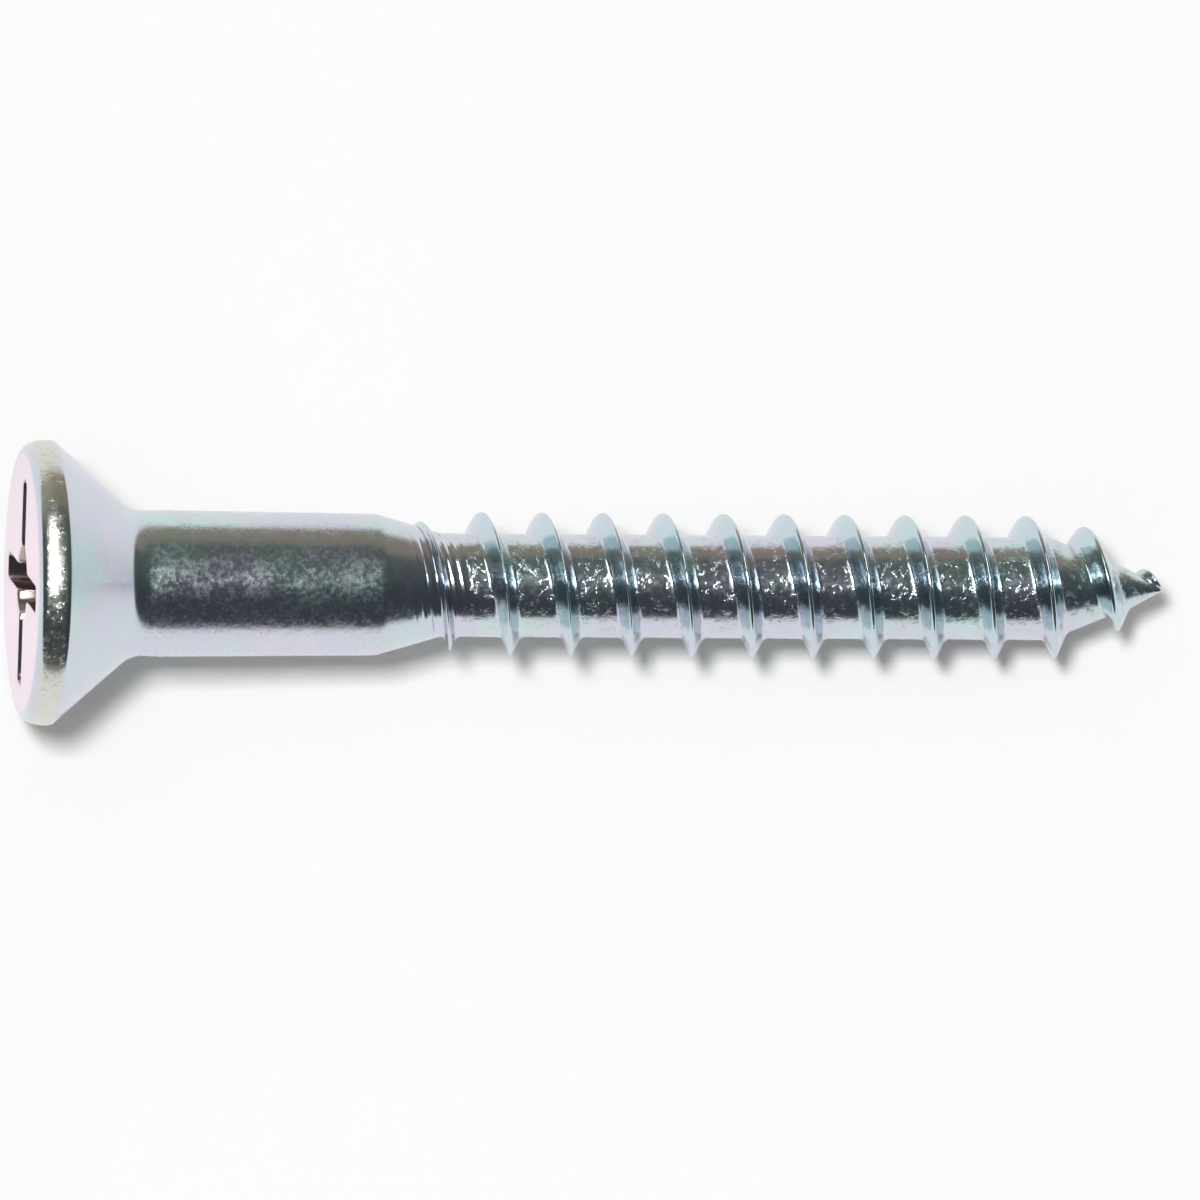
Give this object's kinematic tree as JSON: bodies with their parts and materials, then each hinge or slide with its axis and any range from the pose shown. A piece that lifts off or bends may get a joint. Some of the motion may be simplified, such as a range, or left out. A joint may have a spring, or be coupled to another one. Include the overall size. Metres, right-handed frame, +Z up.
{
  "type": "wood screw",
  "caption": "Flat countersunk head wood screw with a cross recess, a plain shank, a coarse right-hand thread and a gimlet point.",
  "frame": {"origin": "on the screw's axis, halfway between the head's flat face and the tip of the point; the head's face is at X = -0.021925 m and the tip at X = +0.021925 m", "axes": "+X along the axis from the head to the point, +Z up with the screw lying on its side; the cross recess is turned 23.5 degrees from Y about +X"},
  "size_m": [0.0438, 0.0108, 0.0108],
  "materials": {
    "zinc_plated_steel": "bright zinc plate on steel with a blue-white passivation, glossy, with faint lavender, cyan and pink tints"
  },
  "bodies": {
    "root": {"wood_screw": "zinc_plated_steel"}
  },
  "joints": []
}
